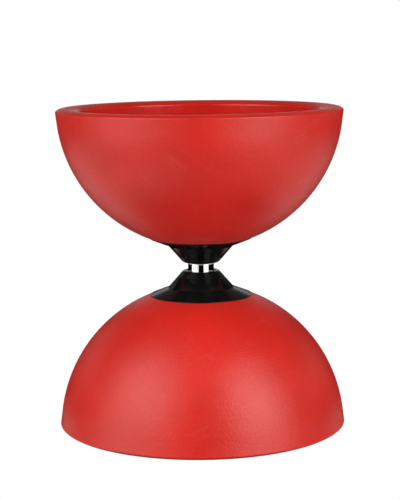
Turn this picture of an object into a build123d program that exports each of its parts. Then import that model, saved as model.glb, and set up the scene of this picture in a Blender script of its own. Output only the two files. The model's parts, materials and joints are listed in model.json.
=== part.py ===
from build123d import *
import os
from math import asin, degrees, radians, sqrt, tan

# A ball-bearing diabolo (Chinese yo-yo): two bowl-shaped cups, mouths outwards, clamped on one
# threaded rod, with a polished string sleeve that spins on three ball bearings between them.
# Millimetres. The origin is the middle of the axle and +Z is the spin axis. Everything is
# symmetric about the plane z = 0: each function makes the upper piece, and the lower one is
# its mirror image.

# ---- driving dimensions ----------------------------------------------------------------------
CUP_DIAMETER = 125.0            # over the rims
OVERALL_LENGTH = 139.4          # rim face to rim face
STRING_GAP = 3.6                # between the noses of the two hub cones

# cup
BOWL_RADIUS = 62.3              # outside of the bowl, a sphere centred on the axle
BOWL_CENTRE_Z = 70.9
WALL = 3.0
RIM_WIDTH = 9.0                 # radial width of the thick rim
RIM_OUTER_DROP = 1.25           # from the rim's rounded crown down to its outer edge
RIM_INNER_DROP = 1.85           # and down to its inner edge
RIM_LAND = 1.6                  # width of the flat on the crown that the toy stands on
RIM_LAND_RADIUS = 58.8          # middle of that flat
RIM_DEPTH = 6.2                 # height of the rim's inner wall
RIM_EDGE_ROUND = 0.35
BAND_HEIGHT = 7.6               # conical band below the rim's outer edge
UNDERCUT = 4.0                  # height of the slope from the rim's inner wall back to the bowl
SEAT_Z = 11.2                   # flat on the outside of the cup, where the hub cone beds
FLOOR_THICKNESS = 5.0           # cup wall where it is clamped

# hub cone
CONE_ANGLE = 49.0               # steep part, degrees from the plane of the cup
CONE_JUNCTION = (14.3, 9.3)     # where the steep part meets the flange, radius and z
NOSE_ROUND = 2.0
JUNCTION_ROUND = 2.5
FLANGE_RADIUS = 22.4
FLANGE_LIP = 0.45               # thickness of the flange's outer edge
BED_GAP = 0.05                  # between the flange and the bowl outside the flat seat
SPIGOT_RADIUS = 9.0             # register that centres the cone in the cup
SPIGOT_PLAY = 0.05
SPIGOT_SHORT = 0.3              # the spigot stops this far below the cup's floor
SHOULDER_THICKNESS = 1.2        # web between the sleeve's pocket and the bush's seat
POCKET_CHAMFER = 0.3

# string sleeve
SLEEVE_RADIUS = 5.75
SLEEVE_LENGTH = 16.0
SLEEVE_CHAMFER = 0.3
TRACK_RADIUS = 5.65             # bottom of the shallow string track
TRACK_FLAT = 2.0                # straight part of the track
SLEEVE_CLEARANCE = 0.08         # running clearance in the cones' pockets
SLEEVE_END_GAP = 0.3

# ball bearings, 5 x 9 x 3 mm
BEARING_BORE = 2.5              # this and the next are radii
BEARING_OUTSIDE = 4.5
BEARING_WIDTH = 3.0
BEARING_SPACING = 4.8           # from bearing to bearing
BALL_RADIUS = 0.5
BALL_PITCH = 3.5                # radius of the ring of balls
BALL_COUNT = 11
INNER_LAND = 3.2                # outside of the inner race
OUTER_LAND = 3.8                # inside of the outer race
BALL_PLAY = 0.02                # between a ball and its groove
CAGE_THICKNESS = 0.4
CAGE_WIDTH = 1.5
POCKET_PLAY = 0.05              # between a ball and its pocket in the cage
SHIELD_OUTSIDE = 4.1
SHIELD_THICKNESS = 0.2
SHIELD_INSET = 0.1              # below the bearing's face
SHIELD_PLAY = 0.08              # between a shield and the inner race
OUTER_SPACER_BORE = 3.9

# axle hardware, M5
ROD_RADIUS = 2.48
ROD_LENGTH = 60.0
ROD_CHAMFER = 0.6
HOLE_RADIUS = 2.6               # of the plate and the washer
SHIM_THICKNESS = 0.5
BUSH_NOSE_RADIUS = 3.4
BUSH_NOSE_PLAY = 0.2            # between the bush's nose and the cone's web
BUSH_RADIUS = 6.5
PLATE_RADIUS = 16.0
PLATE_THICKNESS = 1.5
PLATE_ROUND = 0.5
WASHER_RADIUS = 5.0
WASHER_THICKNESS = 1.0
WASHER_CHAMFER = 0.15
NUT_ACROSS_FLATS = 8.0
NUT_HEX_HEIGHT = 3.7
NUT_HEIGHT = 5.0
NUT_CHAMFER_RADIUS = 3.85       # where the corner chamfer meets the nut's end faces
NUT_CHAMFER_HEIGHT = 0.45
NUT_COLLAR_RADIUS = 3.6
NUT_LIP_RADIUS = 2.9            # the collar is rolled in over the insert to this
NUT_LIP_THICKNESS = 0.35
INSERT_RADIUS = 3.2
INSERT_HEIGHT = 1.1

# ---- sizes worked out from them --------------------------------------------------------------
RIM_RADIUS = CUP_DIAMETER / 2
RIM_BORE_RADIUS = RIM_RADIUS - RIM_WIDTH
RIM_Z = OVERALL_LENGTH / 2
OUTER_EDGE_Z = RIM_Z - RIM_OUTER_DROP
INNER_EDGE_Z = RIM_Z - RIM_INNER_DROP
FLOOR_Z = SEAT_Z + FLOOR_THICKNESS
NOSE_Z = STRING_GAP / 2
POCKET_RADIUS = SLEEVE_RADIUS + SLEEVE_CLEARANCE
POCKET_Z = SLEEVE_LENGTH / 2 + SLEEVE_END_GAP
BUSH_SEAT_Z = POCKET_Z + SHOULDER_THICKNESS
BEARING_FACE = BEARING_WIDTH / 2
STACK_Z = BEARING_SPACING + BEARING_FACE        # outer face of the outer bearings
BUSH_NOSE_Z = STACK_Z + SHIM_THICKNESS
PLATE_Z = FLOOR_Z + PLATE_THICKNESS
WASHER_Z = PLATE_Z + WASHER_THICKNESS
NUT_Z = WASHER_Z + NUT_HEIGHT
COLLAR_Z = WASHER_Z + NUT_HEX_HEIGHT
INSERT_Z = NUT_Z - NUT_LIP_THICKNESS


# ---- helpers ---------------------------------------------------------------------------------
def sphere_point(z, radius):
    """The (radius, z) point at height z of a sphere of this radius about the bowl's centre."""
    return (sqrt(radius**2 - (BOWL_CENTRE_Z - z) ** 2), z)


def bowl_arc(low, high, radius):
    """The arc between two heights of a sphere of this radius about the bowl's centre."""
    start, end = (degrees(asin((z - BOWL_CENTRE_Z) / radius)) for z in (low, high))
    return CenterArc((0, BOWL_CENTRE_Z), radius, start, end - start)


def turned(*curves):
    """The solid turned about Z whose half-section these curves bound, drawn as (radius, z)."""
    section = make_face(Curve() + list(curves))
    return revolve(Plane.XZ * section, Axis.Z)


def ring(inner, outer, low, high):
    """A plain ring between two radii and two heights."""
    return turned(Polyline((inner, low), (outer, low), (outer, high), (inner, high), close=True))


def circles(part, radius, z):
    """The round edges of this radius at this height."""
    return [
        edge
        for edge in part.edges().filter_by(GeomType.CIRCLE)
        if abs(edge.radius - radius) < 1e-3 and abs(edge.arc_center.Z - z) < 1e-3
    ]


# ---- cups and hub cones ----------------------------------------------------------------------
def cup():
    """Bowl with a thick crowned rim, a conical band outside it and a clamped flat floor."""
    outer_edge, inner_edge = (RIM_RADIUS, OUTER_EDGE_Z), (RIM_BORE_RADIUS, INNER_EDGE_Z)
    outer_land = (RIM_LAND_RADIUS + RIM_LAND / 2, RIM_Z)
    inner_land = (RIM_LAND_RADIUS - RIM_LAND / 2, RIM_Z)
    wall_foot = (RIM_BORE_RADIUS, INNER_EDGE_Z - RIM_DEPTH)
    band_z = OUTER_EDGE_Z - BAND_HEIGHT
    undercut_z = wall_foot[1] - UNDERCUT
    bore = SPIGOT_RADIUS + SPIGOT_PLAY
    inside = BOWL_RADIUS - WALL
    blank = turned(
        Polyline((bore, FLOOR_Z), (bore, SEAT_Z), sphere_point(SEAT_Z, BOWL_RADIUS)),
        bowl_arc(SEAT_Z, band_z, BOWL_RADIUS),
        Line(sphere_point(band_z, BOWL_RADIUS), outer_edge),
        TangentArc(outer_land, outer_edge, tangent=(1, 0)),
        Line(outer_land, inner_land),
        TangentArc(inner_land, inner_edge, tangent=(-1, 0)),
        Polyline(inner_edge, wall_foot, sphere_point(undercut_z, inside)),
        bowl_arc(FLOOR_Z, undercut_z, inside),
        Line(sphere_point(FLOOR_Z, inside), (bore, FLOOR_Z)),
    )
    edges = circles(blank, *outer_edge) + circles(blank, *inner_edge)
    return fillet(edges, RIM_EDGE_ROUND)


def hub_cone():
    """Cone that guides the string, with a thin flange on the cup and a pocket for the sleeve."""
    junction_r, junction_z = CONE_JUNCTION
    nose_r = junction_r - (junction_z - NOSE_Z) / tan(radians(CONE_ANGLE))
    bed = BOWL_RADIUS + BED_GAP
    lip_z = BOWL_CENTRE_Z - sqrt(bed**2 - FLANGE_RADIUS**2)
    mouth = (POCKET_RADIUS + POCKET_CHAMFER, NOSE_Z)
    lip = (FLANGE_RADIUS, lip_z - FLANGE_LIP)
    web_bore = BUSH_NOSE_RADIUS + BUSH_NOSE_PLAY
    return turned(
        FilletPolyline(
            mouth, (nose_r, NOSE_Z), CONE_JUNCTION, lip, radius=[NOSE_ROUND, JUNCTION_ROUND]
        ),
        Line(lip, (FLANGE_RADIUS, lip_z)),
        bowl_arc(SEAT_Z, lip_z, bed),
        Polyline(
            sphere_point(SEAT_Z, bed),
            (SPIGOT_RADIUS, SEAT_Z),
            (SPIGOT_RADIUS, FLOOR_Z - SPIGOT_SHORT),
            (BUSH_RADIUS, FLOOR_Z - SPIGOT_SHORT),
            (BUSH_RADIUS, BUSH_SEAT_Z),
            (web_bore, BUSH_SEAT_Z),
            (web_bore, POCKET_Z),
            (POCKET_RADIUS, POCKET_Z),
            (POCKET_RADIUS, NOSE_Z + POCKET_CHAMFER),
            mouth,
        ),
    )


# ---- string sleeve ---------------------------------------------------------------------------
def axle_sleeve():
    """Polished tube on the bearings, with the shallow track that the string runs in."""
    half, flat = SLEEVE_LENGTH / 2, TRACK_FLAT / 2
    shoulder, shoulder_end = (SLEEVE_RADIUS, NOSE_Z), (SLEEVE_RADIUS, half - SLEEVE_CHAMFER)
    upper = turned(
        Polyline((BEARING_OUTSIDE, 0), (TRACK_RADIUS, 0), (TRACK_RADIUS, flat)),
        TangentArc((TRACK_RADIUS, flat), shoulder, tangent=(0, 1)),
        Polyline(
            shoulder,
            shoulder_end,
            (SLEEVE_RADIUS - SLEEVE_CHAMFER, half),
            (BEARING_OUTSIDE, half),
            (BEARING_OUTSIDE, 0),
        ),
    )
    return upper + mirror(upper, about=Plane.XY)


# ---- ball bearings, each made at the origin --------------------------------------------------
def inner_race():
    race = ring(BEARING_BORE, INNER_LAND, -BEARING_FACE, BEARING_FACE)
    return race - Torus(BALL_PITCH, BALL_RADIUS + BALL_PLAY)


def outer_race():
    """Outer race, recessed at both faces for the shields."""
    race = ring(OUTER_LAND, BEARING_OUTSIDE, -BEARING_FACE, BEARING_FACE)
    recess_z = BEARING_FACE - SHIELD_INSET - SHIELD_THICKNESS
    for low, high in ((recess_z, BEARING_FACE), (-BEARING_FACE, -recess_z)):
        race -= ring(INNER_LAND, SHIELD_OUTSIDE, low, high)
    return race - Torus(BALL_PITCH, BALL_RADIUS + BALL_PLAY)


def balls():
    return Compound([place * Sphere(BALL_RADIUS) for place in PolarLocations(BALL_PITCH, BALL_COUNT)])


def cage():
    """Thin ring with a hole drilled through it, from the axis outwards, for each ball."""
    inner, outer = BALL_PITCH - CAGE_THICKNESS / 2, BALL_PITCH + CAGE_THICKNESS / 2
    drill = Rot(0, 90, 0) * Cylinder(BALL_RADIUS + POCKET_PLAY, 2 * CAGE_THICKNESS)
    drilled = [place * drill for place in PolarLocations(BALL_PITCH, BALL_COUNT)]
    return ring(inner, outer, -CAGE_WIDTH / 2, CAGE_WIDTH / 2) - drilled


def shields():
    """The two shields that close a bearing, held by its outer race."""
    top = BEARING_FACE - SHIELD_INSET
    shield = ring(INNER_LAND + SHIELD_PLAY, SHIELD_OUTSIDE, top - SHIELD_THICKNESS, top)
    return Compound([shield.solid(), mirror(shield, about=Plane.XY).solid()])


# ---- axle hardware ---------------------------------------------------------------------------
def axle_rod():
    """Threaded rod, drawn as a plain cylinder at the thread's outside."""
    end = ROD_LENGTH / 2
    bevel = ROD_RADIUS - ROD_CHAMFER
    return turned(
        Polyline(
            (0, -end), (bevel, -end), (ROD_RADIUS, -end + ROD_CHAMFER),
            (ROD_RADIUS, end - ROD_CHAMFER), (bevel, end), (0, end), close=True,
        )
    )


def hub_bush():
    """Metal core of the hub cone: its nose presses on the bearings, its back on the plate."""
    nose = ring(BEARING_BORE, BUSH_NOSE_RADIUS, BUSH_NOSE_Z, BUSH_SEAT_Z)
    return nose + ring(BEARING_BORE, BUSH_RADIUS, BUSH_SEAT_Z, FLOOR_Z)


def clamp_plate():
    """Steel disc that clamps the cup's floor against the hub cone."""
    disc = ring(HOLE_RADIUS, PLATE_RADIUS, FLOOR_Z, PLATE_Z)
    return fillet(circles(disc, PLATE_RADIUS, PLATE_Z), PLATE_ROUND)


def washer():
    disc = ring(HOLE_RADIUS, WASHER_RADIUS, PLATE_Z, WASHER_Z)
    return chamfer(circles(disc, WASHER_RADIUS, WASHER_Z), WASHER_CHAMFER)


def lock_nut():
    """Hexagon nut with a rolled collar that holds a nylon insert."""
    corner = NUT_ACROSS_FLATS / sqrt(3)
    prism = Pos(0, 0, WASHER_Z) * extrude(
        RegularPolygon(NUT_ACROSS_FLATS / 2, 6, major_radius=False), NUT_HEX_HEIGHT
    )
    barrel = turned(
        Polyline(
            (0, WASHER_Z), (NUT_CHAMFER_RADIUS, WASHER_Z), (corner, WASHER_Z + NUT_CHAMFER_HEIGHT),
            (corner, COLLAR_Z - NUT_CHAMFER_HEIGHT), (NUT_CHAMFER_RADIUS, COLLAR_Z),
            (0, COLLAR_Z), close=True,
        )
    )
    collar = ring(0, NUT_COLLAR_RADIUS, COLLAR_Z, NUT_Z)
    collar = fillet(circles(collar, NUT_COLLAR_RADIUS, NUT_Z), NUT_LIP_THICKNESS)
    pocket = ring(0, INSERT_RADIUS, INSERT_Z - INSERT_HEIGHT, INSERT_Z)
    mouth = ring(0, NUT_LIP_RADIUS, INSERT_Z, NUT_Z)
    return (prism & barrel) + collar - pocket - mouth - ring(0, BEARING_BORE, WASHER_Z, NUT_Z)


def nylon_insert():
    return ring(BEARING_BORE, INSERT_RADIUS, INSERT_Z - INSERT_HEIGHT, INSERT_Z)


# ---- the sub-parts, one file each ------------------------------------------------------------
def nodes():
    """Every sub-part in its place, by name."""
    made = {"axle_sleeve": axle_sleeve(), "axle_rod": axle_rod()}
    pairs = {
        "cup": cup(),
        "hub_cone": hub_cone(),
        "hub_bush": hub_bush(),
        "bearing_shim": ring(BEARING_BORE, INNER_LAND, STACK_Z, BUSH_NOSE_Z),
        "inner_spacer": ring(BEARING_BORE, INNER_LAND, BEARING_FACE, BEARING_SPACING - BEARING_FACE),
        "outer_spacer": ring(
            OUTER_SPACER_BORE, BEARING_OUTSIDE, BEARING_FACE, BEARING_SPACING - BEARING_FACE
        ),
        "clamp_plate": clamp_plate(),
        "plate_washer": washer(),
        "lock_nut": lock_nut(),
        "nylon_insert": nylon_insert(),
    }
    for name, piece in pairs.items():
        made["upper_" + name] = piece
        made["lower_" + name] = mirror(piece, about=Plane.XY)
    bearing = {
        "inner_race": inner_race(),
        "outer_race": outer_race(),
        "balls": balls(),
        "ball_cage": cage(),
        "shields": shields(),
    }
    for side, step in (("upper", 1), ("middle", 0), ("lower", -1)):
        for name, piece in bearing.items():
            made[f"{side}_bearing_{name}"] = Pos(0, 0, step * BEARING_SPACING) * piece
    return made


os.makedirs("parts", exist_ok=True)
for name, piece in nodes().items():
    export_step(piece, f"parts/{name}.step")
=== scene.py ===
# A ball-bearing diabolo in a white studio. Metres, in the part's own frame: the origin is the
# middle of the axle and +Z is the spin axis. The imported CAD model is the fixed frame. This
# script turns finer meshes for the cups, hub cones, string sleeve and threaded rod on the same
# outlines, with softer rim edges, thinner flange edges, turned rings and a real thread. It gives
# every piece its material, and sets up the camera and the light.
import json
import math

import bmesh
import bpy
from mathutils import Matrix, Vector


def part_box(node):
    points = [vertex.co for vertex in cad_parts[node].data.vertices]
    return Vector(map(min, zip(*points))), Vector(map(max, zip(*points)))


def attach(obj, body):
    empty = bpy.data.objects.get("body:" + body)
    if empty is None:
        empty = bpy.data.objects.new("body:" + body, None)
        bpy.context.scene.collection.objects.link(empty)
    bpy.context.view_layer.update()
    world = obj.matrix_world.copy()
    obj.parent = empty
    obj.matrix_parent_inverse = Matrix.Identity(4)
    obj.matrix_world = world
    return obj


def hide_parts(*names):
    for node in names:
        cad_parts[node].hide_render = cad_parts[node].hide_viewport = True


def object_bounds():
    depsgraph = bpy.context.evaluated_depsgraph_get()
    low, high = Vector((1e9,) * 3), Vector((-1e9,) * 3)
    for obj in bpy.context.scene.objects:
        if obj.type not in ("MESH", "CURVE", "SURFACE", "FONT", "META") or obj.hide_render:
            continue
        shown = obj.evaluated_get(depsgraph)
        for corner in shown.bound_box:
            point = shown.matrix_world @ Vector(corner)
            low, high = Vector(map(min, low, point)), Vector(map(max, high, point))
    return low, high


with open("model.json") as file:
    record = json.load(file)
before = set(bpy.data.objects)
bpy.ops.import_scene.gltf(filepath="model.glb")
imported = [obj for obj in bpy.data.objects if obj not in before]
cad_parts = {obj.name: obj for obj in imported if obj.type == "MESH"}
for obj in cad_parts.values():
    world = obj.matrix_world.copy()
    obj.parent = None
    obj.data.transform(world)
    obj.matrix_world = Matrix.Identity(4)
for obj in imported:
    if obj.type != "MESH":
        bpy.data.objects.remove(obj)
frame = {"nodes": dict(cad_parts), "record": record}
cad_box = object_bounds()

MM = 0.001
SIDES = {"upper": 1, "lower": -1}    # the lower side is the upper one mirrored in z

# ---- camera ----------------------------------------------------------------------------------
CAMERA_PLACE = Vector((0.0, -0.6576, 0.1055))   # metres
CAMERA_PITCH = 5.743            # degrees below the horizon
CAMERA_ROLL = 0.63              # degrees, right side down
CAMERA_LENS = 109.13            # this and the sensor in millimetres
SENSOR_WIDTH = 36.0
CAMERA_SHIFT = -0.1471          # of the picture's height: the object stands low in the frame

# ---- floor and light -------------------------------------------------------------------------
FLOOR_RADIUS = 3.0              # metres
FLOOR_GAP = 0.2                 # millimetres under the object, so that the two don't flicker

# Each softbox fills a window of directions as the object sees them. Degrees: azimuth from and
# to, measured from the camera's side and positive to its right, elevation from and to; radiance.
# Two broad screens stand in front, left and right of a dark gap, in columns and in low and high
# rows. The cores are their brighter middles, and the tables and floors are light from below.
LIGHT_DISTANCE = 1.0            # metres
LIGHT_COLOUR = (1.0, 0.98, 0.93)
SOFTBOXES = {
    "left_1_low": (-88, -78, -20, 14, 1.2),
    "left_1_high": (-88, -78, 14, 50, 2.0),
    "left_2_low": (-78, -62, -20, 14, 1.55),
    "left_2_high": (-78, -62, 14, 50, 2.3),
    "left_3_low": (-62, -41, -20, 14, 1.7),
    "left_3_high": (-62, -41, 14, 50, 3.05),
    "left_4_low": (-41, -22, -20, 14, 0.95),
    "left_4_high": (-41, -22, 14, 50, 2.0),
    "left_table": (-88, -22, -32, -20, 0.25),
    "left_floor": (-88, -22, -60, -34, 0.8),
    "right_1_low": (26, 48, -20, 14, 2.35),
    "right_1_high": (26, 48, 14, 50, 3.7),
    "right_2_low": (48, 68, -20, 14, 2.1),
    "right_2_high": (48, 68, 14, 50, 3.0),
    "right_table": (26, 68, -32, -20, 0.2),
    "right_floor": (26, 68, -55, -32, 0.45),
    "front_table": (-22, 26, -26, -13, 0.35),
    "front_floor": (-22, 26, -62, -38, 0.35),
    "left_top": (-90, -20, 50, 72, 0.5),
    "left_core": (-62, -30, 6, 26, 0.95),
    "right_core": (32, 62, 6, 26, 2.0),
    "side_right": (71, 140, 2, 24, 0.3),
    "side_left": (-150, -104, 2, 24, 0.3),
    "side_table_right": (68, 150, -50, -13, 0.58),
    "side_table_left": (-150, -88, -50, -13, 0.65),
    "backdrop_low": (162, 198, 2, 9, 0.3),
    "backdrop_high": (162, 198, 9, 18, 0.65),
    "back_fill": (140, 210, 18, 50, 0.09),
}

# ---- outlines, in millimetres ----------------------------------------------------------------
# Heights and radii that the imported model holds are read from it; these repeat its design.
BOWL_RADIUS = 62.3              # outside of the bowl, a sphere about BOWL_CENTRE_Z on the axle
BOWL_CENTRE_Z = 70.9
WALL = 3.0
RIM_WIDTH = 9.0
RIM_OUTER_DROP = 1.25           # from the rim's crown down to its outer edge
RIM_INNER_DROP = 1.85           # and down to its inner edge
RIM_LAND = 1.6                  # width of the flat on the crown
RIM_LAND_RADIUS = 58.8
RIM_DEPTH = 6.2                 # height of the rim's inner wall
BAND_HEIGHT = 7.6               # conical band below the rim's outer edge
UNDERCUT = 4.0                  # height of the slope from the inner wall back to the bowl
FLOOR_THICKNESS = 5.0
CUP_BORE = 9.05
CONE_JUNCTION = (14.3, 9.3)     # radius and z where the steep cone meets the flange
CONE_ANGLE = 49.0               # degrees
NOSE_ROUND = 2.0
JUNCTION_ROUND = 2.5
BED_GAP = 0.05                  # between the flange and the bowl
SPIGOT_RADIUS = 9.0
BUSH_RADIUS = 6.5
BUSH_SEAT_Z = 9.5
WEB_BORE = 3.6
POCKET_RADIUS = 5.83
POCKET_Z = 8.3
POCKET_CHAMFER = 0.3
TRACK_RADIUS = 5.65             # bottom of the string track
TRACK_FLAT = 2.0
STRING_GAP = 3.6                # between the two noses
SLEEVE_BORE = 4.5
SLEEVE_CHAMFER = 0.3
ROD_CHAMFER = 0.6

# Finish that only these meshes show.
RIM_OUTER_ROUND = 0.6
RIM_INNER_ROUND = 0.8
WALL_LEAN = 0.35                # the wall under the rim's inner edge leans outwards
WALL_FOOT_ROUND = 1.0
BAND_HOLD = 0.08                # rows this share of the band from its ends keep it shaded flat
FLANGE_LIP = 0.22               # thickness of the flange's outer edge
LIP_ROUND = 0.08
LIP_UNDERCUT = 0.3              # the flange's edge leans in towards the cup
RING_COUNT = 4                  # fine turned rings on the steep cone, next to the nose
RING_START = 0.35               # from the nose's rounding to the first ring
RING_PITCH = 0.55
RING_FACET = 0.1                # each ring has two flanks and a bottom of this length
RING_DEPTH = 0.03
THREAD_START = 17.0             # the rod is plain between its two threaded ends
THREAD_PITCH = 0.8
THREAD_DEPTH = 0.46
THREAD_CREST = 0.125            # the flanks start and end here, where 0 is the middle of a
THREAD_ROOT = 0.75              # crest and 1 the middle of a root

CUP_SEGMENTS = 288
HUB_SEGMENTS = 192
ROD_SEGMENTS = 40
ROD_ROWS_PER_TURN = 8

# ---- where the cups' surfaces change, in millimetres -----------------------------------------
INSIDE_REACH = 54.5             # the rim's inner wall is nearer to the axle than this
RIM_WEAR_FROM = 69.1            # the crown is scuffed where it stands, from this height
RIM_WEAR_FULL = 69.6
STRING_WEAR_FULL = 0.4          # the string dulls the sleeve to this height from its middle
STRING_WEAR_END = 1.2


def node_size(node):
    """Radius, lowest z and highest z of a turned node, in millimetres."""
    low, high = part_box(node)
    return max(high[0], -low[0]) / MM, low[2] / MM, high[2] / MM


# ---- turned meshes ---------------------------------------------------------------------------
def arc(centre, radius, start, end, count):
    """Points of an arc in the (radius, z) plane, between two angles in degrees."""
    angles = [math.radians(start + (end - start) * i / count) for i in range(count + 1)]
    return [(centre[0] + radius * math.cos(a), centre[1] + radius * math.sin(a)) for a in angles]


def rounded(before, corner, after, radius, count=6):
    """Points of a fillet at a corner between two straight stretches."""
    corner = Vector(corner)
    first = (Vector(before) - corner).normalized()
    second = (Vector(after) - corner).normalized()
    half = first.angle(second) / 2
    centre = corner + (first + second).normalized() * (radius / math.sin(half))
    start = corner + first * (radius / math.tan(half)) - centre
    end = corner + second * (radius / math.tan(half)) - centre
    turn = start.angle_signed(end)
    points = []
    for i in range(count + 1):
        spoke = start.copy()
        spoke.rotate(Matrix.Rotation(-turn * i / count, 2))
        points.append(tuple(centre + spoke))
    return points


def turned_point(radius, angle, z):
    """In metres, from millimetres and radians."""
    return (radius * math.cos(angle) * MM, radius * math.sin(angle) * MM, z * MM)


def join_rings(bm, ring, following):
    """One row of faces between two rings of points."""
    for i in range(len(ring)):
        j = (i + 1) % len(ring)
        bm.faces.new((ring[i], ring[j], following[j], following[i]))


def turned(name, outline, side, segments, sharp=30):
    """A closed ring of faces, turned about Z from an outline in millimetres."""
    bm = bmesh.new()
    angles = [2 * math.pi * i / segments for i in range(segments)]
    rings = []
    for radius, z in outline:
        rings.append([bm.verts.new(turned_point(radius, a, side * z)) for a in angles])
    for ring, following in zip(rings, rings[1:] + rings[:1]):
        join_rings(bm, ring, following)
    return finished(name, bm, sharp)


def finished(name, bm, sharp):
    """The Blender object of this mesh, with its edges sharper than an angle kept crisp."""
    bmesh.ops.recalc_face_normals(bm, faces=bm.faces)
    mesh = bpy.data.meshes.new(name)
    bm.to_mesh(mesh)
    bm.free()
    for polygon in mesh.polygons:
        polygon.use_smooth = True
    mesh.set_sharp_from_angle(angle=math.radians(sharp))
    piece = bpy.data.objects.new(name, mesh)
    bpy.context.scene.collection.objects.link(piece)
    return piece


def sphere_point(z, radius):
    """The point at this height on a sphere about the bowl's centre."""
    return (math.sqrt(radius**2 - (BOWL_CENTRE_Z - z) ** 2), z)


def bowl_arc(low, high, radius, count):
    """An arc between two heights on a sphere about the bowl's centre."""
    start, end = (math.degrees(math.asin((z - BOWL_CENTRE_Z) / radius)) for z in (low, high))
    return arc((0, BOWL_CENTRE_Z), radius, start, end, count)


def crown(land_x, edge, count):
    """The rim's arc from the flat that it stands on down to an edge, level where it starts."""
    rim_z = node_size("upper_cup")[2]
    run, drop = abs(edge[0] - land_x), rim_z - edge[1]
    radius = (run**2 + drop**2) / (2 * drop)
    reach = math.degrees(math.asin(run / radius))
    end = 90 - math.copysign(reach, edge[0] - land_x)
    return arc((land_x, rim_z - radius), radius, 90, end, count)


def cup_outline():
    """Section of the upper cup: up its outside, over the rim and down its inside."""
    rim_radius, seat_z, rim_z = node_size("upper_cup")
    floor_z = seat_z + FLOOR_THICKNESS
    outer_edge = (rim_radius, rim_z - RIM_OUTER_DROP)
    inner_edge = (rim_radius - RIM_WIDTH, rim_z - RIM_INNER_DROP)
    wall_foot = (inner_edge[0] + WALL_LEAN, inner_edge[1] - RIM_DEPTH)
    band_z = outer_edge[1] - BAND_HEIGHT
    inside = BOWL_RADIUS - WALL
    undercut = sphere_point(wall_foot[1] - UNDERCUT, inside)
    band_foot = sphere_point(band_z, BOWL_RADIUS)
    band = [
        tuple(Vector(band_foot).lerp(Vector(outer_edge), share))
        for share in (BAND_HOLD, 1 - BAND_HOLD)
    ]
    outer_crown = crown(RIM_LAND_RADIUS + RIM_LAND / 2, outer_edge, 8)
    inner_crown = crown(RIM_LAND_RADIUS - RIM_LAND / 2, inner_edge, 10)
    return (
        [(CUP_BORE, floor_z), (CUP_BORE, seat_z)]
        + bowl_arc(seat_z, band_z, BOWL_RADIUS, 56)
        + band
        + rounded(band_foot, outer_edge, outer_crown[-2], RIM_OUTER_ROUND)
        + outer_crown[-2::-1]
        + inner_crown[:-1]
        + rounded(inner_crown[-2], inner_edge, wall_foot, RIM_INNER_ROUND)
        + rounded(inner_edge, wall_foot, undercut, WALL_FOOT_ROUND)
        + bowl_arc(floor_z, undercut[1], inside, 48)[::-1]
    )


def cone_outline():
    """Section of the upper hub cone: from the pocket's mouth over the nose, out to the flange's
    edge, back along the bowl and down into the bush's seat and the pocket."""
    flange_radius, nose_z, spigot_z = node_size("upper_hub_cone")
    seat_z = node_size("upper_cup")[1]
    bed = BOWL_RADIUS + BED_GAP
    lip_z = BOWL_CENTRE_Z - math.sqrt(bed**2 - flange_radius**2)
    slope = math.tan(math.radians(CONE_ANGLE))
    nose = (CONE_JUNCTION[0] - (CONE_JUNCTION[1] - nose_z) / slope, nose_z)
    lip = (flange_radius, lip_z - FLANGE_LIP)
    tucked_radius = flange_radius - LIP_UNDERCUT
    tucked = (tucked_radius, BOWL_CENTRE_Z - math.sqrt(bed**2 - tucked_radius**2))
    mouth = (POCKET_RADIUS + POCKET_CHAMFER, nose_z)
    nose_arc = rounded(mouth, nose, CONE_JUNCTION, NOSE_ROUND, 12)
    rings = []
    along = (Vector(CONE_JUNCTION) - Vector(nose)).normalized()
    inwards = Vector((-along.y, along.x))
    for i in range(RING_COUNT):
        start = Vector(nose_arc[-1]) + along * (RING_START + i * RING_PITCH)
        for step, depth in enumerate((0.0, RING_DEPTH, RING_DEPTH, 0.0)):
            rings.append(tuple(start + along * step * RING_FACET + inwards * depth))
    return (
        [mouth]
        + nose_arc
        + rings
        + rounded(nose, CONE_JUNCTION, lip, JUNCTION_ROUND, 10)
        + rounded(CONE_JUNCTION, lip, tucked, LIP_ROUND)
        + bowl_arc(seat_z, tucked[1], bed, 16)[::-1]
        + [
            (SPIGOT_RADIUS, seat_z),
            (SPIGOT_RADIUS, spigot_z),
            (BUSH_RADIUS, spigot_z),
            (BUSH_RADIUS, BUSH_SEAT_Z),
            (WEB_BORE, BUSH_SEAT_Z),
            (WEB_BORE, POCKET_Z),
            (POCKET_RADIUS, POCKET_Z),
            (POCKET_RADIUS, nose_z + POCKET_CHAMFER),
        ]
    )


def sleeve_outline():
    """Section of the sleeve: a shallow track that flares up to its two straight ends."""
    radius, _, end_z = node_size("axle_sleeve")
    rise, run = radius - TRACK_RADIUS, (STRING_GAP - TRACK_FLAT) / 2
    flare = (run**2 + rise**2) / (2 * rise)
    reach = math.degrees(math.asin(run / flare))
    half = arc((TRACK_RADIUS + flare, TRACK_FLAT / 2), flare, 180, 180 - reach, 10)
    half += rounded(half[-1], (radius, end_z), (SLEEVE_BORE, end_z), SLEEVE_CHAMFER)
    half.append((SLEEVE_BORE, end_z))
    return [(r, -z) for r, z in half[::-1]] + half


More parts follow.
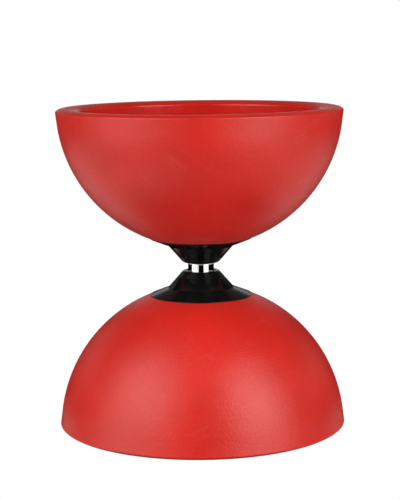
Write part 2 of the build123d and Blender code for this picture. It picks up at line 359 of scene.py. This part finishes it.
def threaded_rod():
    """The axle: a rolled M5 thread at both ends, with chamfered tips, and a plain middle."""
    radius, _, end_z = node_size("axle_rod")
    steps = round((end_z - THREAD_START) / THREAD_PITCH * ROD_ROWS_PER_TURN)
    heights = [THREAD_START + (end_z - THREAD_START) * i / steps for i in range(steps + 1)]
    bm = bmesh.new()
    rings = []
    for z in [-h for h in heights[::-1]] + heights:
        fade = min(1.0, (abs(z) - THREAD_START) / THREAD_PITCH)
        tip = radius - max(0.0, ROD_CHAMFER - (end_z - abs(z)))
        ring = []
        for i in range(ROD_SEGMENTS):
            turn = i / ROD_SEGMENTS
            phase = (z / THREAD_PITCH - turn) % 1.0
            flank = (abs(2 * phase - 1) - THREAD_CREST) / (THREAD_ROOT - THREAD_CREST)
            flank = min(1.0, max(0.0, flank))
            r = min(tip, radius - THREAD_DEPTH * flank * fade)
            ring.append(bm.verts.new(turned_point(r, 2 * math.pi * turn, z)))
        rings.append(ring)
    for ring, following in zip(rings, rings[1:]):
        join_rings(bm, ring, following)
    bm.faces.new(rings[0])
    bm.faces.new(rings[-1])
    return finished("threaded_rod", bm, 50)


# ---- materials -------------------------------------------------------------------------------
class Look:
    """A new Principled material, with short ways to add the nodes that the looks here need."""

    def __init__(self, name):
        self.material = bpy.data.materials.new(name)
        self.material.use_nodes = True
        self.tree = self.material.node_tree
        self.shader = self.tree.nodes["Principled BSDF"]
        self.place = self.tree.nodes.new("ShaderNodeTexCoord").outputs["Object"]

    def link(self, value, socket):
        """Feed a socket from another one, or set its own value."""
        if isinstance(value, bpy.types.NodeSocket):
            self.tree.links.new(value, socket)
        else:
            socket.default_value = value

    def set(self, **values):
        """Inputs of the shader, by their names with _ for a space."""
        for key, value in values.items():
            self.link(value, self.shader.inputs[key.replace("_", " ")])

    def math(self, operation, *values):
        node = self.tree.nodes.new("ShaderNodeMath")
        node.operation = operation
        for value, socket in zip(values, node.inputs):
            self.link(value, socket)
        return node.outputs[0]

    def total(self, *values):
        result = values[0]
        for value in values[1:]:
            result = self.math("ADD", result, value)
        return result

    def scaled(self, value, factor):
        return self.math("MULTIPLY", value, factor)

    def stretched(self, times, rotation=(0, 0, 0)):
        """The place on the object, for a texture turned and drawn out so many times."""
        node = self.tree.nodes.new("ShaderNodeMapping")
        node.vector_type = "TEXTURE"
        self.tree.links.new(self.place, node.inputs["Vector"])
        node.inputs["Rotation"].default_value = [math.radians(a) for a in rotation]
        node.inputs["Scale"].default_value = times
        return node.outputs["Vector"]

    def noise(self, size, detail=2.0, place=None, roughness=0.5):
        """Noise from 0 to 1 whose features are this many millimetres across."""
        node = self.tree.nodes.new("ShaderNodeTexNoise")
        self.tree.links.new(place or self.place, node.inputs["Vector"])
        node.inputs["Scale"].default_value = 1 / (size * MM)
        node.inputs["Detail"].default_value = detail
        node.inputs["Roughness"].default_value = roughness
        return node.outputs["Fac"]

    def spread(self, value, low, high, to_low=0.0, to_high=1.0):
        """A smooth step from to_low to to_high while the value goes from low to high."""
        node = self.tree.nodes.new("ShaderNodeMapRange")
        node.interpolation_type = "SMOOTHSTEP"
        self.link(value, node.inputs["Value"])
        ends = (("From Min", low), ("From Max", high), ("To Min", to_low), ("To Max", to_high))
        for key, number in ends:
            node.inputs[key].default_value = number
        return node.outputs["Result"]

    def mix(self, factor, first, second):
        """Between two colours, each a triple or a socket."""
        node = self.tree.nodes.new("ShaderNodeMix")
        node.data_type = "RGBA"
        self.link(factor, node.inputs["Factor"])
        colours = [socket for socket in node.inputs if socket.type == "RGBA"]
        for colour, socket in zip((first, second), colours):
            if isinstance(colour, bpy.types.NodeSocket):
                self.tree.links.new(colour, socket)
            else:
                socket.default_value = (*colour, 1)
        return next(socket for socket in node.outputs if socket.type == "RGBA")

    def radius_and_height(self):
        """Distance from the axle and height along it."""
        split = self.tree.nodes.new("ShaderNodeSeparateXYZ")
        self.tree.links.new(self.place, split.inputs[0])
        x, y, z = split.outputs
        squares = self.total(self.math("MULTIPLY", x, x), self.math("MULTIPLY", y, y))
        return self.math("SQRT", squares), z

    def inside_bowl(self, r, z):
        """1 on the inner faces of a cup, 0 on its rim and outside."""
        rise = self.total(self.math("ABSOLUTE", z), -BOWL_CENTRE_Z * MM)
        squares = self.total(self.math("MULTIPLY", r, r), self.math("MULTIPLY", rise, rise))
        within = self.math("LESS_THAN", self.math("SQRT", squares), (BOWL_RADIUS - WALL / 2) * MM)
        return self.math("MULTIPLY", within, self.math("LESS_THAN", r, INSIDE_REACH * MM))

    def turning(self, distance, pitch):
        """Fine tool marks: a wave along a distance, one crest each so many millimetres."""
        wobble = self.scaled(self.noise(2.5, 2.0), 0.4)
        phase = self.total(self.scaled(distance, 2 * math.pi / (pitch * MM)), wobble)
        return self.math("SINE", phase)

    def scratches(self, spacing, tilt, width=0.02):
        """Straight hairlines: the mid-level contour of a noise drawn out into tilted sheets."""
        lines = self.noise(spacing, 0.0, self.stretched((40, 40, 1), (0, tilt, 0)))
        return self.spread(self.math("ABSOLUTE", self.total(lines, -0.5)), 0.0, width, 1.0, 0.0)

    def bump(self, height, depth):
        """Relief from a height of about 0 to 1, this many millimetres deep."""
        node = self.tree.nodes.new("ShaderNodeBump")
        node.inputs["Strength"].default_value = 1.0
        node.inputs["Distance"].default_value = depth * MM
        self.tree.links.new(height, node.inputs["Height"])
        self.tree.links.new(node.outputs["Normal"], self.shader.inputs["Normal"])


def cup_look():
    """Red elastomer: satin, with a fine moulded grain and a few straight hairlines."""
    look = Look("red_elastomer")
    r, z = look.radius_and_height()
    cloud = look.spread(look.noise(22, 3.0), 0.3, 0.7)
    speckle = look.spread(look.noise(0.6, 2.0), 0.3, 0.7)
    red = look.mix(cloud, (0.660, 0.0212, 0.0137), (0.742, 0.0262, 0.0172))
    red = look.mix(look.scaled(speckle, 0.3), red, (0.58, 0.004, 0.003))
    hairs = look.math("MAXIMUM", look.scratches(5, 38), look.scratches(7, -24))
    hairs = look.math("MULTIPLY", hairs, look.spread(look.noise(14, 1.0), 0.56, 0.66))
    red = look.mix(look.scaled(hairs, 0.07), red, (0.85, 0.25, 0.22))
    height = look.math("ABSOLUTE", z)
    rim_wear = look.spread(height, RIM_WEAR_FROM * MM, RIM_WEAR_FULL * MM)
    red = look.mix(look.scaled(rim_wear, 0.18), red, (0.52, 0.05, 0.042))
    inside = look.inside_bowl(r, z)
    rough = look.total(
        look.spread(look.noise(6, 3.0), 0.25, 0.75, 0.265, 0.325),
        look.scaled(speckle, 0.08),
        look.scaled(rim_wear, 0.08),
        look.scaled(inside, -0.11),
    )
    look.set(Base_Color=red, Roughness=rough, Sheen_Weight=0.06, Sheen_Roughness=0.35)
    streaks = look.noise(1.4, 2.0, look.stretched((40, 40, 1)))
    grain = look.total(
        look.noise(0.7, 3.0, roughness=0.6),
        look.scaled(streaks, 0.25),
        look.scaled(hairs, -0.15),
    )
    moulded = look.total(1.0, look.scaled(inside, -0.85))
    look.bump(look.math("MULTIPLY", grain, moulded), 0.13)
    return look.material


def cone_look():
    """Black nylon: glossy, turned, with light handling marks from the string."""
    look = Look("black_nylon")
    _, z = look.radius_and_height()
    dust = look.spread(look.noise(7, 4.0), 0.35, 0.8)
    black = look.mix(dust, (0.0033, 0.0033, 0.0040), (0.0060, 0.0060, 0.0068))
    hairs = look.scratches(2, 12)
    hairs = look.math("MULTIPLY", hairs, look.spread(look.noise(6, 1.0), 0.5, 0.65))
    black = look.mix(look.scaled(hairs, 0.1), black, (0.05, 0.05, 0.05))
    uneven = look.spread(look.noise(3, 3.0), 0.3, 0.7, 0.17, 0.23)
    rough = look.total(uneven, look.scaled(hairs, 0.06))
    look.set(Base_Color=black, Roughness=rough)
    look.bump(look.total(look.scaled(look.turning(z, 0.5), 0.4), look.noise(1.6, 2.0)), 0.003)
    return look.material


def sleeve_look():
    """Mirror chrome with round polishing lines, dulled a little where the string runs."""
    look = Look("chrome")
    _, z = look.radius_and_height()
    haze = look.noise(0.4, 3.0, look.stretched((20, 20, 1)))
    height = look.math("ABSOLUTE", z)
    worn = look.spread(height, STRING_WEAR_FULL * MM, STRING_WEAR_END * MM, 1.0, 0.0)
    tint = look.mix(haze, (0.90, 0.91, 0.92), (0.84, 0.85, 0.87))
    rough = look.total(look.spread(haze, 0.3, 0.7, 0.03, 0.06), look.scaled(worn, 0.03))
    look.set(Base_Color=tint, Metallic=1.0, Roughness=rough)
    look.bump(look.noise(0.08, 1.0, look.stretched((50, 50, 1))), 0.0003)
    return look.material


def turned_metal(name, light, dark, rough, pitch, depth, across):
    """Metal with fine turned rings, cloudy tone and uneven gloss."""
    look = Look(name)
    r, z = look.radius_and_height()
    cloud = look.spread(look.noise(3, 4.0), 0.3, 0.7)
    fine = look.noise(0.25, 3.0)
    tint = look.mix(cloud, light, dark)
    look.set(
        Base_Color=tint,
        Metallic=1.0,
        Roughness=look.spread(fine, 0.3, 0.7, rough - 0.05, rough + 0.07),
    )
    marks = look.turning(r if across else z, pitch)
    look.bump(look.total(look.scaled(marks, 0.5), look.scaled(fine, 0.8)), depth)
    return look.material


def insert_look():
    """Natural nylon, milky and slightly yellow."""
    look = Look("natural_nylon")
    cloud = look.spread(look.noise(0.9, 3.0), 0.3, 0.7)
    look.set(
        Base_Color=look.mix(cloud, (0.74, 0.73, 0.66), (0.82, 0.81, 0.75)),
        Roughness=look.spread(look.noise(0.4, 2.0), 0.3, 0.7, 0.42, 0.55),
        Subsurface_Weight=0.2,
        Subsurface_Scale=0.0005,
    )
    look.bump(look.noise(0.2, 2.0), 0.006)
    return look.material


# Slot: light tone, dark tone, roughness, pitch and depth of the rings in millimetres, and
# whether the rings follow one another outwards from the axle instead of along it.
METALS = {
    "bearing_steel": ((0.62, 0.62, 0.64), (0.54, 0.54, 0.56), 0.22, 0.10, 0.001, False),
    "ball_steel": ((0.80, 0.80, 0.82), (0.74, 0.74, 0.77), 0.08, 0.20, 0.0002, False),
    "cage_brass": ((0.78, 0.57, 0.26), (0.66, 0.46, 0.19), 0.28, 0.12, 0.001, False),
    "bush_aluminium": ((0.80, 0.81, 0.83), (0.70, 0.71, 0.73), 0.30, 0.15, 0.002, True),
    "zinc_steel": ((0.70, 0.71, 0.73), (0.60, 0.62, 0.66), 0.27, 0.30, 0.003, True),
}


def make_materials():
    """A material for each of the record's material slots."""
    materials = {
        "cup_plastic": cup_look(),
        "hub_plastic": cone_look(),
        "sleeve_chrome": sleeve_look(),
        "insert_nylon": insert_look(),
    }
    for slot, values in METALS.items():
        materials[slot] = turned_metal(slot, *values)
    return materials


# ---- pieces ----------------------------------------------------------------------------------
def stand_in(piece, node, body, material):
    """This piece takes the place of a CAD node."""
    piece.data.materials.append(material)
    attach(piece, body)
    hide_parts(node)


def make_pieces(materials):
    """Materials for the CAD nodes, and the six pieces that replace one each."""
    for part in frame["record"]["subparts"]:
        node = frame["nodes"][part["node"]]
        node.data.materials.clear()
        node.data.materials.append(materials[part["material_slot"]])
    for side, sign in SIDES.items():
        cup = turned(f"{side}_cup_shell", cup_outline(), sign, CUP_SEGMENTS)
        stand_in(cup, f"{side}_cup", "wheel", materials["cup_plastic"])
        cone = turned(f"{side}_hub_cone_shell", cone_outline(), sign, HUB_SEGMENTS)
        stand_in(cone, f"{side}_hub_cone", "wheel", materials["hub_plastic"])
    sleeve = turned("polished_sleeve", sleeve_outline(), 1, HUB_SEGMENTS, sharp=20)
    stand_in(sleeve, "axle_sleeve", "sleeve", materials["sleeve_chrome"])
    stand_in(threaded_rod(), "axle_rod", "wheel", materials["zinc_steel"])


# ---- studio ----------------------------------------------------------------------------------
def make_camera():
    data = bpy.data.cameras.new("camera")
    data.lens = CAMERA_LENS
    data.sensor_width = SENSOR_WIDTH
    data.shift_y = CAMERA_SHIFT
    camera = bpy.data.objects.new("camera", data)
    bpy.context.scene.collection.objects.link(camera)
    pitch = Matrix.Rotation(math.radians(90 - CAMERA_PITCH), 4, "X")
    roll = Matrix.Rotation(math.radians(-CAMERA_ROLL), 4, "Z")
    camera.matrix_world = Matrix.Translation(CAMERA_PLACE) @ pitch @ roll
    bpy.context.scene.camera = camera


def softbox(name, azimuth_from, azimuth_to, low, high, radiance):
    """A rectangular light that fills this window of directions, aimed at the object's middle."""
    azimuth = math.radians((azimuth_from + azimuth_to) / 2)
    elevation = math.radians((low + high) / 2)
    width = 2 * LIGHT_DISTANCE * math.tan(math.radians(azimuth_to - azimuth_from) / 2)
    width *= math.cos(elevation)
    height = 2 * LIGHT_DISTANCE * math.tan(math.radians(high - low) / 2)
    data = bpy.data.lights.new(name, "AREA")
    data.shape = "RECTANGLE"
    data.size, data.size_y = width, height
    data.energy = radiance * math.pi * width * height
    data.color = LIGHT_COLOUR
    light = bpy.data.objects.new(name, data)
    bpy.context.scene.collection.objects.link(light)
    towards = Vector((
        math.sin(azimuth) * math.cos(elevation),
        -math.cos(azimuth) * math.cos(elevation),
        math.sin(elevation),
    ))
    turn = towards.to_track_quat("Z", "Y").to_matrix().to_4x4()
    light.matrix_world = Matrix.Translation(towards * LIGHT_DISTANCE) @ turn
    light.visible_camera = False


def make_background():
    """White all round and a white floor. Only the camera sees them: the softboxes light."""
    world = bpy.data.worlds.new("white")
    bpy.context.scene.world = world
    world.use_nodes = True
    world.node_tree.nodes["Background"].inputs["Color"].default_value = (1, 1, 1, 1)
    world.cycles_visibility.diffuse = False
    world.cycles_visibility.glossy = False
    material = bpy.data.materials.new("floor_white")
    material.use_nodes = True
    nodes = material.node_tree.nodes
    nodes.clear()
    out = nodes.new("ShaderNodeOutputMaterial")
    glow = nodes.new("ShaderNodeEmission")
    material.node_tree.links.new(glow.outputs["Emission"], out.inputs["Surface"])
    bm = bmesh.new()
    bmesh.ops.create_circle(bm, cap_ends=True, segments=96, radius=FLOOR_RADIUS)
    mesh = bpy.data.meshes.new("floor")
    bm.to_mesh(mesh)
    bm.free()
    mesh.materials.append(material)
    floor = bpy.data.objects.new("floor", mesh)
    floor.location.z = cad_box[0].z - FLOOR_GAP * MM
    bpy.context.scene.collection.objects.link(floor)
    floor.visible_diffuse = False
    floor.visible_glossy = False
    floor.visible_shadow = False
    bpy.context.scene.view_settings.view_transform = "Standard"


make_camera()
make_background()
for name, window in SOFTBOXES.items():
    softbox(name, *window)
make_pieces(make_materials())
